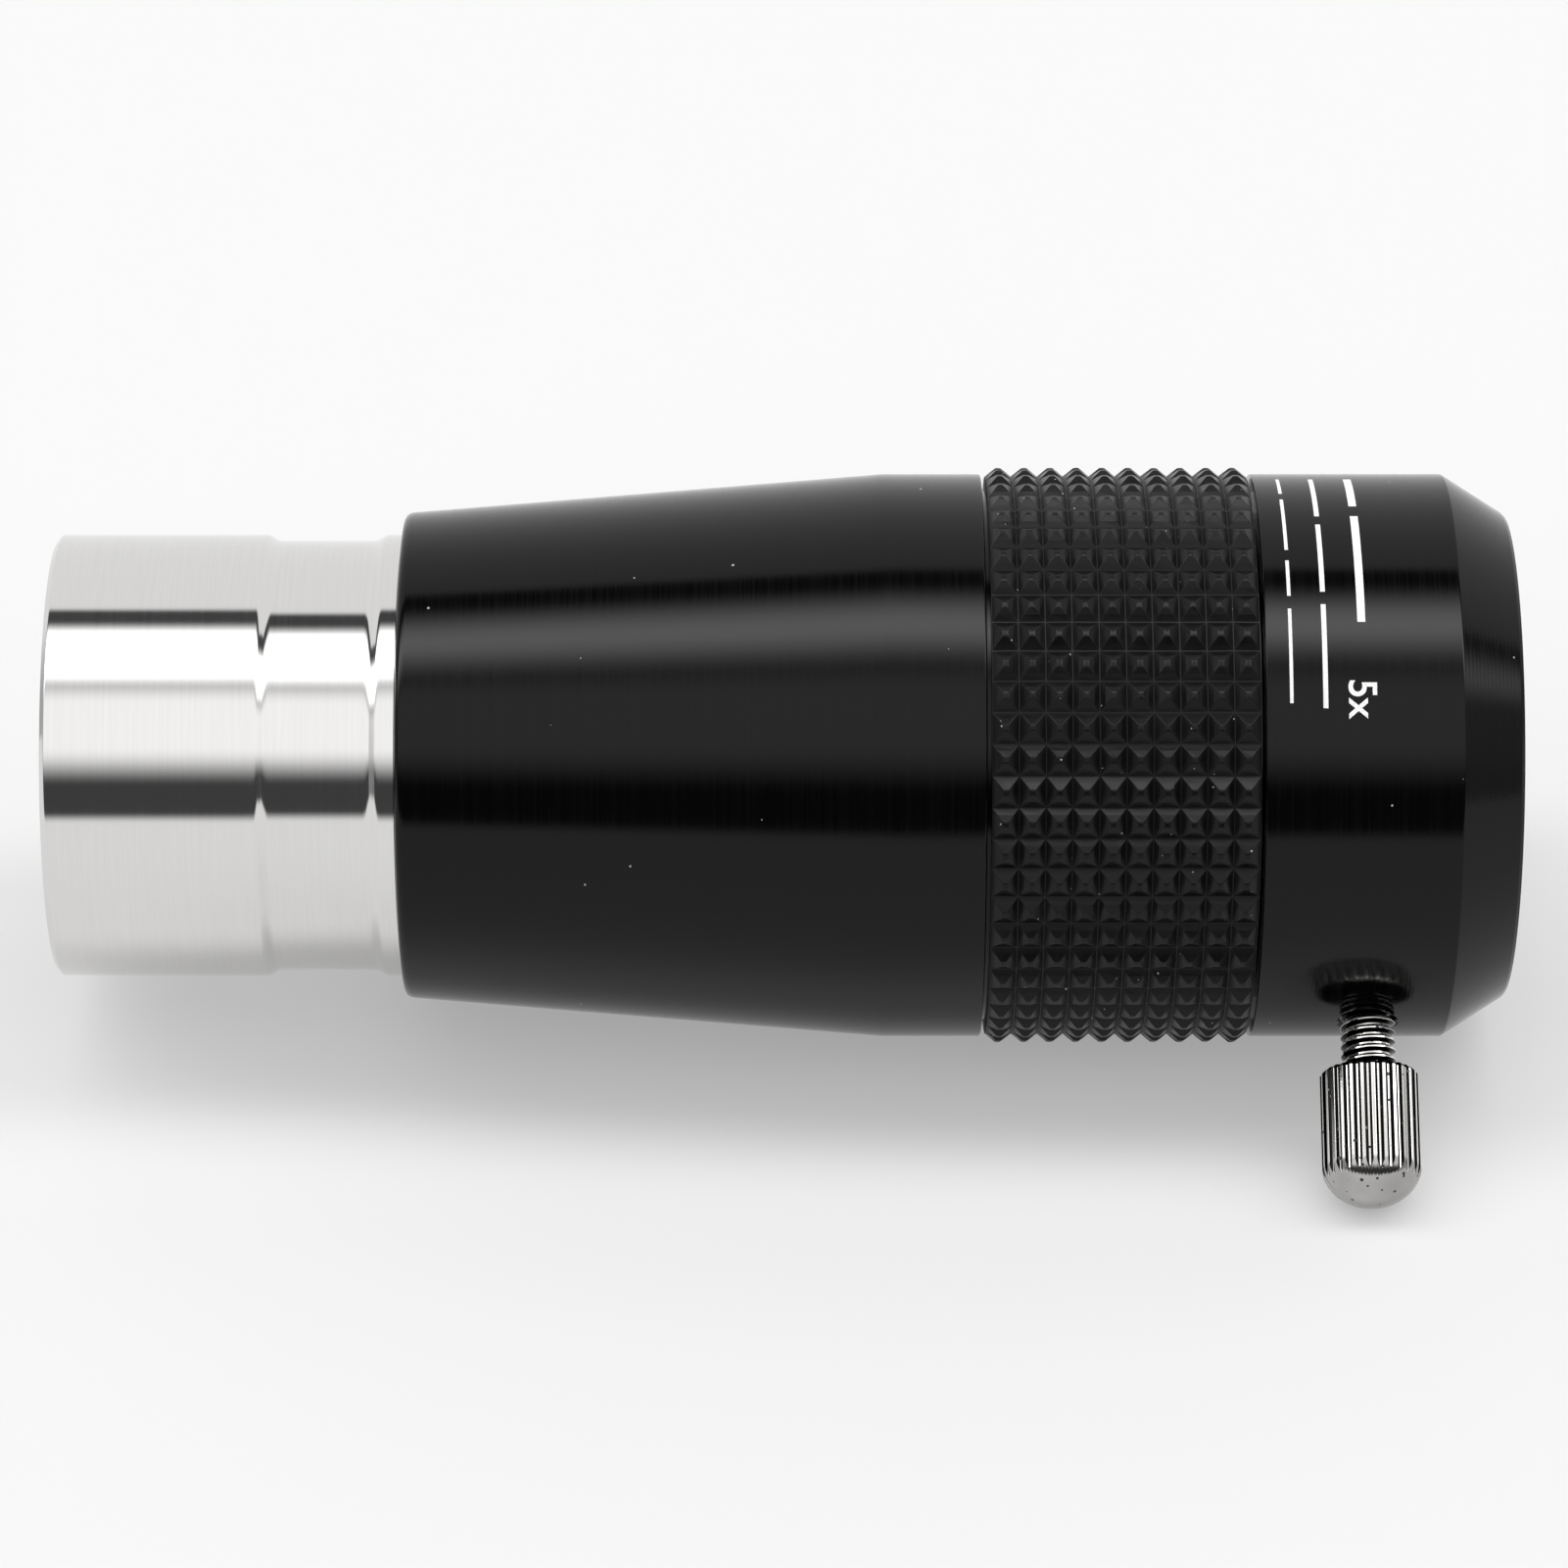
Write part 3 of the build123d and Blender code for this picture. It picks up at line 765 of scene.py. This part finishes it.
def copy_round(piece, **values):
    """Runs the tree on the piece, with its settings by name, and keeps the result as a plain mesh."""
    modifier = piece.modifiers.new("ring", "NODES")
    modifier.node_group = RING_OF_COPIES
    for item in RING_OF_COPIES.interface.items_tree:
        label = item.name.replace(" ", "_")
        if item.in_out == "INPUT" and label in values:
            modifier[item.identifier] = values[label]
    bake_modifiers(piece)


# %% [markdown]
# ## The rubber grip
# One cell of the grip is a square pyramid with a blunt tip and slightly broken ridges, standing on
# a narrow flat channel. It is built as a stack of squares whose corners are cut off, from the
# channel up to the tip, directly on the curve of the tube. The wall is the sleeve's side and back,
# one step wide, so that the welded result is closed.

# %% Grip
GRIP_ROWS = 57
GRIP_COLUMNS = 10
GRIP_VALLEY = 20.05
GRIP_PEAK = grip_radius - 0.02
GRIP_PITCH = (grip_end - grip_start) / GRIP_COLUMNS
GRIP_STEP = 2 * math.pi / GRIP_ROWS
# (half width as a share of the cell, how much of a side its cut corner takes, height as a share)
GRIP_SQUARES = [(0.478, 0.01, 0.0), (0.30, 0.018, 0.48), (0.11, 0.06, 0.95), (0.06, 0.20, 1.0)]


def grip_cell():
    """One pyramid on its piece of channel, centred on the origin along X and on the angle 0."""
    builder = bmesh.new()
    cavity = builder.verts.layers.float.new(GROOVES_AND_PAINTED_LIGHT)

    def corner(x_share, turn_share, height_share):
        radius = GRIP_VALLEY + (GRIP_PEAK - GRIP_VALLEY) * height_share
        point = builder.verts.new(round_axis(x_share * GRIP_PITCH, radius, turn_share * GRIP_STEP))
        point[cavity] = max(0.0, 1 - 8 * height_share)
        return point

    border = [corner(x, turn, 0) for x, turn in ((-0.5, -0.5), (0.5, -0.5), (0.5, 0.5), (-0.5, 0.5))]
    squares = []
    for half, missing, height in GRIP_SQUARES:
        near = half * (1 - 2 * missing)
        places = [(-near, -half), (near, -half), (half, -near), (half, near),
                  (near, half), (-near, half), (-half, near), (-half, -near)]
        squares.append([corner(x, turn, height) for x, turn in places])
    base = squares[0]
    for side in range(4):
        after = (side + 1) % 4
        builder.faces.new((border[side], border[after], base[2 * side + 1], base[2 * side]))
        builder.faces.new((border[after], base[(2 * side + 2) % 8], base[2 * side + 1]))
    for lower, upper in zip(squares, squares[1:]):
        for index in range(8):
            after = (index + 1) % 8
            builder.faces.new((lower[index], lower[after], upper[after], upper[index]))
    builder.faces.new(squares[-1])
    return builder


def grip_wall():
    """One step of the sleeve's front, back and inside, under one strip of pyramids."""
    builder = bmesh.new()
    outline = [
        (grip_start, GRIP_VALLEY), (grip_start, LAND_RADIUS),
        (grip_end, LAND_RADIUS), (grip_end, GRIP_VALLEY),
    ]
    sides = [[builder.verts.new(round_axis(x, radius, turn * GRIP_STEP)) for x, radius in outline]
             for turn in (-0.5, 0.5)]
    for index in range(len(outline) - 1):
        builder.faces.new((sides[0][index], sides[1][index], sides[1][index + 1], sides[0][index + 1]))
    return builder


def faces_outwards(piece):
    """Turns every face of a closed mesh outwards."""
    builder = bmesh.new()
    builder.from_mesh(piece.data)
    bmesh.ops.recalc_face_normals(builder, faces=builder.faces)
    builder.to_mesh(piece.data)
    builder.free()


grip = new_piece("rubber_grip", grip_cell(), None, sharp=0)
wall = new_piece("grip_wall", grip_wall(), None, sharp=0)
copy_round(
    grip, Wall=wall, Around=GRIP_ROWS, Columns=GRIP_COLUMNS, Start=(grip_start + GRIP_PITCH / 2) * MM,
    Pitch=GRIP_PITCH * MM, Unevenness=0.09 * MM, Noise_Scale=700.0, Seed=3.0, Material=RUBBER,
)
bpy.data.objects.remove(wall)
faces_outwards(grip)
install(grip, "barrel", "black_rubber", "grip_ring")

# %% [markdown]
# ## The eyepiece holder
# The holder is turned like the barrel, with a wide chamfer at its mouth and a groove inside for
# the clamping ring. The thumbscrew goes through a drilled hole. Its axis comes from the frame's
# joint, so the hole, the thread and the knob share one line.

# %% Holder
turn_joint = next(joint for joint in frame["joints"] if joint["name"] == "thumbscrew_turn")
screw_origin = Vector(turn_joint["pos_m"])
screw_outwards = -Vector(turn_joint["axis"]).normalized()
screw_place = Matrix.Translation(screw_origin) @ screw_outwards.to_track_quat("X", "Z").to_matrix().to_4x4()

holder_tail, holder_end, holder_radius = span("eyepiece_holder")
ring_start, ring_end, ring_radius = span("compression_ring")
HOLDER_START = grip_end + 0.3
HOLDER_CHAMFER = 4.5
MOUTH_RADIUS = 17.5
SOCKET_RADIUS = 15.95
GROOVE_RADIUS = 17.3
GROOVE_SLACK = 0.1
STOP_RADIUS = 14.2
STOP_END = holder_tail + 1.5
STUD_HOLE_RADIUS = 2.0
COUNTERSINK = 0.25
DRILL_OVERRUN = 0.75

holder = turned("holder_tube", [
    (holder_tail, STOP_RADIUS),
    (holder_tail, HOLDER_THREAD_RADIUS),
    (HOLDER_START, HOLDER_THREAD_RADIUS),
    (HOLDER_START, holder_radius, 0.15),
    (holder_end - HOLDER_CHAMFER, holder_radius, 0.07),
    (holder_end - 0.25, MOUTH_RADIUS, 0.05),
    (holder_end, MOUTH_RADIUS - 0.25, 0.05),
    (holder_end, SOCKET_RADIUS + 0.4, 0.05),
    (holder_end - 0.4, SOCKET_RADIUS, 0.05),
    (ring_end + GROOVE_SLACK, SOCKET_RADIUS),
    (ring_end + GROOVE_SLACK, GROOVE_RADIUS),
    (ring_start - GROOVE_SLACK, GROOVE_RADIUS),
    (ring_start - GROOVE_SLACK, SOCKET_RADIUS),
    (STOP_END, SOCKET_RADIUS),
    (STOP_END, STOP_RADIUS),
], GLOSS_BLACK)
drill = turned("drill", [
    (0, 0), (0, STUD_HOLE_RADIUS), (holder_radius - COUNTERSINK, STUD_HOLE_RADIUS),
    (holder_radius + DRILL_OVERRUN, STUD_HOLE_RADIUS + COUNTERSINK + DRILL_OVERRUN),
    (holder_radius + DRILL_OVERRUN, 0),
], None, segments=64)
# the drill starts at the axis, so the far side of the holder stays whole
drill.data.transform(screw_place)
cut(holder, drill)
install(holder, "barrel", "black_anodised", "eyepiece_holder")

# %% [markdown]
# ## The clamping ring
# A thin brass ring with a gap sits in the holder's groove. The thumbscrew pushes it against the
# eyepiece, so the screw never scratches it. It is a turned ring with its gap sawn out.

# %% Clamping ring
RING_INNER = 16.05
RING_GAP = 3.0


def saw(name, start, end, width, reach):
    """A box from start to end along X, with that width along Y and that reach along Z."""
    builder = bmesh.new()
    bmesh.ops.create_cube(builder, size=1.0)
    bmesh.ops.scale(builder, vec=((end - start) * MM, width * MM, reach * MM), verts=builder.verts)
    bmesh.ops.translate(builder, vec=((start + end) / 2 * MM, 0, 0), verts=builder.verts)
    return new_piece(name, builder, None)


clamp_ring = turned("clamp_ring_band", [
    (ring_start, RING_INNER), (ring_start, ring_radius), (ring_end, ring_radius), (ring_end, RING_INNER),
], BRASS)
gap = saw("gap", -ring_radius - 2, -ring_radius + 4, RING_GAP, 20)
gap.data.transform(screw_place)
cut(clamp_ring, gap)
install(clamp_ring, "clamp_ring", "brass", "compression_ring")

# %% [markdown]
# ## The thumbscrew
# The knob has 28 straight flutes with narrow flat bottoms, which run out on its dome and leave
# pointed scallops. A boolean with 28 cutters would leave ragged shading, so one tooth is drawn as a
# fan of lines: each line runs up the flute at its own depth until it meets the dome, and then
# follows the dome to the top. Each line also writes into an attribute where the nickel finish
# paints light into its colour: a painted highlight on the crests and the flute bottoms, painted
# shade on the flanks. The ring tree repeats the tooth. The stud's thread is a real helix: the
# points of one turn are joined to the points of the next, one pitch further on.

# %% Knob
screw_heights = [(vertex.co - screw_origin).dot(screw_outwards) / MM
                 for vertex in frame["nodes"]["thumbscrew"].data.vertices]
STUD_TIP, KNOB_TOP = min(screw_heights), max(screw_heights)
KNOB_LENGTH = 10.0
KNOB_FOOT = KNOB_TOP - KNOB_LENGTH
DOME_START = KNOB_TOP - 3.05
DOME_TOP = KNOB_TOP - 0.17       # a full dome ends a little short of the frame's, to stay off the floor
KNOB_RADIUS = 3.5
KNURL_TEETH = 28
KNURL_DEPTH = 0.16
FOOT_CHAMFER = 0.3
DOME_STEPS = 14
FLUTE_POINTS = 4         # how many points of a line lie in the flute, up to where it meets the dome
# (place across the tooth as a share of its width, depth as a share of the flute, painted light: -1 is a
# painted highlight and 1 painted shade)
HALF_TOOTH = [(0.12, 0.0, -1.0), (0.165, 0.08, 0.4), (0.40, 0.94, 1.0), (0.435, 1.0, -0.9), (0.5, 1.0, -0.9)]
TOOTH_LINES = [(-place, depth, painted_light) for place, depth, painted_light in reversed(HALF_TOOTH)] + HALF_TOOTH


def tooth():
    """One tooth of the knob and its share of the dome, about X."""
    dome_rise = DOME_TOP - DOME_START
    builder = bmesh.new()
    cavity = builder.verts.layers.float.new(GROOVES_AND_PAINTED_LIGHT)
    lines = []
    for place, depth, painted_light in TOOTH_LINES:
        turn = place * 2 * math.pi / KNURL_TEETH
        radius = KNOB_RADIUS - depth * KNURL_DEPTH
        tilt = math.asin(radius / KNOB_RADIUS)
        side = [(KNOB_FOOT, 0), (KNOB_FOOT, radius - FOOT_CHAMFER), (KNOB_FOOT + FOOT_CHAMFER, radius)]
        for step in range(DOME_STEPS + 1):
            lean = tilt * (1 - step / DOME_STEPS)
            side.append((DOME_START + dome_rise * math.cos(lean), KNOB_RADIUS * math.sin(lean)))
        line = [builder.verts.new(round_axis(height, far, turn)) for height, far in side]
        # the points in the flute carry the tooth's painted highlight or painted shade
        for point in line[:FLUTE_POINTS]:
            point[cavity] = painted_light
        lines.append(line)
    for here, there in zip(lines, lines[1:]):
        for index in range(len(here) - 1):
            builder.faces.new((here[index], here[index + 1], there[index + 1], there[index]))
    return builder


knob = new_piece("thumbscrew_knob", tooth(), None, sharp=20)
copy_round(
    knob, Around=KNURL_TEETH, Columns=1, Unevenness=0.02 * MM, Noise_Scale=900.0, Seed=1.0, Material=NICKEL,
)
knob.data.transform(screw_place)
faces_outwards(knob)
knob.data.set_sharp_from_angle(angle=math.radians(20))
install(knob, "thumbscrew", "black_nickel", "thumbscrew")

# %% Stud
THREAD_PITCH = 0.7
THREAD_CREST = 1.95
THREAD_ROOT = 1.56
THREAD_SIDES = 48
# (place in one pitch, height as a share, painted light: -1 is a painted highlight and 1 painted shade): a
# narrow crest, a flank, a root and a flank
THREAD_SHAPE = [
    (0.0, 1.0, -1.0), (0.12, 1.0, -1.0), (0.17, 0.88, 0.5), (0.40, 0.10, 1.0),
    (0.45, 0.0, -0.6), (0.60, 0.0, -0.6), (0.65, 0.10, 1.0), (0.95, 0.88, 0.5),
]
NECK_LENGTH = 0.2
STUD_OVERLAP = 0.2       # how far the stud runs on inside the knob
TIP_RADIUS = 1.3


def threaded_stud():
    """A closed rod about X with a helical thread, from the stud's tip into the knob."""
    end = KNOB_FOOT + STUD_OVERLAP
    neck_start = KNOB_FOOT - NECK_LENGTH
    builder = bmesh.new()
    cavity = builder.verts.layers.float.new(GROOVES_AND_PAINTED_LIGHT)
    turns = int((end - STUD_TIP) / THREAD_PITCH) + 2
    lines = []
    for side in range(THREAD_SIDES + 1):
        share = side / THREAD_SIDES
        line = []
        for turn in range(-1, turns):
            for place, height, painted_light in THREAD_SHAPE:
                along = min(max(STUD_TIP + THREAD_PITCH * (turn + place + share), STUD_TIP), end)
                radius = THREAD_ROOT + (THREAD_CREST - THREAD_ROOT) * height
                tip_cone = TIP_RADIUS + (along - STUD_TIP)
                neck = THREAD_ROOT + max(0.0, neck_start - along)
                radius = min(radius, tip_cone, neck)
                point = builder.verts.new(round_axis(along, radius, 2 * math.pi * share))
                # each point takes the painted highlight or painted shade of its place in the thread
                point[cavity] = painted_light
                line.append(point)
        lines.append(line)
    for here, there in zip(lines, lines[1:]):
        for index in range(len(here) - 1):
            builder.faces.new((here[index], here[index + 1], there[index + 1], there[index]))
    bmesh.ops.remove_doubles(builder, verts=builder.verts, dist=WELD * MM)
    bmesh.ops.holes_fill(builder, edges=[edge for edge in builder.edges if edge.is_boundary])
    return builder


stud = new_piece("thumbscrew_stud", threaded_stud(), NICKEL, sharp=25)
stud.data.transform(screw_place)
install(stud, "thumbscrew", "black_nickel", "thumbscrew")

# %% [markdown]
# ## The lenses and their cell
# Three negative lenses sit in a small cell near the front: a cemented pair and a single one. A
# lens is a turned piece whose faces are arcs, so its outline is worked out from how deep each face
# is hollowed. The surfaces that touch are kept a hair apart, because two faces in the same place
# would fight over every ray of light.

# %% Lenses
LENS_RADIUS = 11.05
HAIR = 0.01


def face_of_lens(rim_x, hollow):
    """Points from the rim to the axis, on a sphere whose middle lies hollow further along +X."""
    steps = 16
    if abs(hollow) < 1e-6:
        return [Vector((rim_x, LENS_RADIUS)), Vector((rim_x, 0))]
    radius = (LENS_RADIUS ** 2 + hollow ** 2) / (2 * abs(hollow))
    widest = math.asin(LENS_RADIUS / radius)
    points = []
    for step in range(steps + 1):
        lean = widest * (1 - step / steps)
        bulge = radius * (math.cos(lean) - math.cos(widest))
        points.append(Vector((rim_x + math.copysign(bulge, hollow), radius * math.sin(lean))))
    return points


def lens(name, front_rim, rear_rim, front_hollow, rear_hollow, node):
    front = face_of_lens(front_rim, front_hollow)
    rear = face_of_lens(rear_rim, rear_hollow)
    piece = turned(name, front + rear[::-1], GLASS, segments=96, already_round=True)
    return install(piece, "barrel", "coated_glass", node)


spacer_start, spacer_end, _ = span("lens_spacer")
retainer_end = span("lens_retaining_ring")[1]
CEMENTED_HOLLOW = -2.2
cemented_rim = span("front_negative_lens")[1]
lens("lens_front", retainer_end, cemented_rim - HAIR, 1.4, CEMENTED_HOLLOW, "front_negative_lens")
lens("lens_cemented", cemented_rim + HAIR, spacer_start, CEMENTED_HOLLOW, -0.93, "cemented_meniscus_lens")
lens("lens_rear", spacer_end, span("rear_negative_lens")[1], 1.24, 0, "rear_negative_lens")

# %% Cell, rings and baffles
CELL_RIM = 0.9
CELL_RECESS = 0.7
CELL_STOP_RADIUS = 9.8
CELL_STOP_LENGTH = 1.0
SLOT_DEPTH = 0.7
SLOT_WIDTH = 1.6

cell = turned("cell_tube", [
    (cell_start, cell_radius - CELL_RIM),
    (cell_start, cell_radius),
    (cell_end, cell_radius),
    (cell_end, CELL_STOP_RADIUS),
    (cell_end - CELL_STOP_LENGTH, CELL_STOP_RADIUS),
    (cell_end - CELL_STOP_LENGTH, LENS_RADIUS),
    (cell_start + CELL_RECESS, LENS_RADIUS),
], MATTE_BLACK)
install(cell, "barrel", "matte_black_metal", "lens_cell")


def slotted_ring(name, node, bore):
    """A flat ring with a slot sawn across its front for a spanner."""
    start, end, radius = span(node)
    piece = turned(name, [(start, bore), (start, radius), (end, radius), (end, bore)], MATTE_BLACK)
    blade = saw("blade", start - SLOT_DEPTH, start + SLOT_DEPTH, SLOT_WIDTH, 4 * radius)
    cut(piece, blade)
    return install(piece, "barrel", "matte_black_metal", node)


slotted_ring("lock_ring", "cell_lock_ring", 12.0)
slotted_ring("retaining_ring", "lens_retaining_ring", 9.9)

for node in ("front_baffle", "middle_baffle", "rear_baffle"):
    start, end, radius = span(node)
    vertices = frame["nodes"][node].data.vertices
    opening = min(math.hypot(vertex.co.y, vertex.co.z) for vertex in vertices) / MM
    baffle = turned(node.replace("baffle", "stop"), [
        (start, opening + 1.0), (end - 0.2, opening, 0.02), (end, opening, 0.02),
        (end, radius), (start, radius),
    ], MATTE_BLACK)
    install(baffle, "barrel", "matte_black_metal", node)

# %% [markdown]
# The thin spacer between the lenses is right as the frame has it, so it only gets its finish.

# %% Spacer
spacer = frame["nodes"]["lens_spacer"]
spacer.data.materials.clear()
spacer.data.materials.append(MATTE_BLACK)

# %% [markdown]
# ## Painted marks
# The holder carries white print that reads round the tube, with the tops of its characters towards
# the mouth. Only a plain magnification mark and ruled lines stand for it here. Each mark is drawn
# flat, made a mesh with a little thickness, and then rolled onto the tube: its length becomes an
# angle, and its height a place along the axis. A decal texture would need an image, and paint with
# a real thickness catches the light at its edges.

# %% Rolling flat marks onto the tube
PAINT_THICKNESS = 0.02
PAINT_SINK = 0.02
PRINT_END = 7            # degrees above the camera's own direction, where the print ends
CAPITAL_SHARE = 0.7      # a capital's height as a share of the font's size
STROKE_WIDENING = 0.03


def roll_on(name, mesh, x, end_angle):
    """Rolls a flat mesh in millimetres onto the holder. Its right edge, at 0, comes to end_angle."""
    for vertex in mesh.vertices:
        right, up, out = vertex.co
        radius = (holder_radius - PAINT_SINK + max(out, 0) * (1 + PAINT_SINK / PAINT_THICKNESS)) * MM
        turn = math.radians(end_angle) - right / holder_radius
        around = towards_camera * math.cos(turn) + picture_up * math.sin(turn)
        vertex.co = around * radius + Vector(((x + up) * MM, 0, 0))
    mesh.materials.clear()
    mesh.materials.append(PAINT)
    piece = bpy.data.objects.new(name, mesh)
    bpy.context.scene.collection.objects.link(piece)
    faces_outwards(piece)
    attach(piece, "barrel")
    print(name, "has", len(mesh.polygons), "faces")


def painted_text(name, text, height, x, end_angle):
    letters = bpy.data.curves.new(name, "FONT")
    letters.body = text
    letters.align_x = "RIGHT"
    letters.size = height / CAPITAL_SHARE
    letters.extrude = PAINT_THICKNESS
    letters.offset = STROKE_WIDENING
    letters.resolution_u = 6
    sketch = bpy.data.objects.new(name + "_sketch", letters)
    bpy.context.scene.collection.objects.link(sketch)
    mesh = bpy.data.meshes.new_from_object(sketch.evaluated_get(bpy.context.evaluated_depsgraph_get()))
    bpy.data.objects.remove(sketch)
    roll_on(name, mesh, x, end_angle)


def ruled_line(name, height, x, dashes):
    """A line of long dashes. dashes are (from, to) in degrees of turn."""
    builder = bmesh.new()
    for start, end in dashes:
        steps = max(2, round(abs(end - start) / 2))
        rows = []
        for step in range(steps + 1):
            turn = start + (end - start) * step / steps
            right = -math.radians(turn) * holder_radius
            rows.append([builder.verts.new((right, up, out)) for up, out in
                         ((0, 0), (height, 0), (height, PAINT_THICKNESS), (0, PAINT_THICKNESS))])
        for here, there in zip(rows, rows[1:]):
            for index in range(4):
                after = (index + 1) % 4
                builder.faces.new((here[index], here[after], there[after], there[index]))
        builder.faces.new(rows[0])
        builder.faces.new(rows[-1])
    mesh = bpy.data.meshes.new(name)
    builder.to_mesh(mesh)
    builder.free()
    roll_on(name, mesh, x, 0)


# %% Marks
painted_text("magnification_mark", "5x", 1.95, 66.25, PRINT_END)
ruled_line("ruled_line_wide", 0.55, 66.95, [(76, 60), (56, 27)])
ruled_line("ruled_line_middle", 0.34, 64.45, [(76, 56), (53, 34), (31, PRINT_END + 2)])
ruled_line("ruled_line_narrow", 0.24, 62.15, [(76, 66), (63, 45), (42, 33), (30, PRINT_END + 3)])
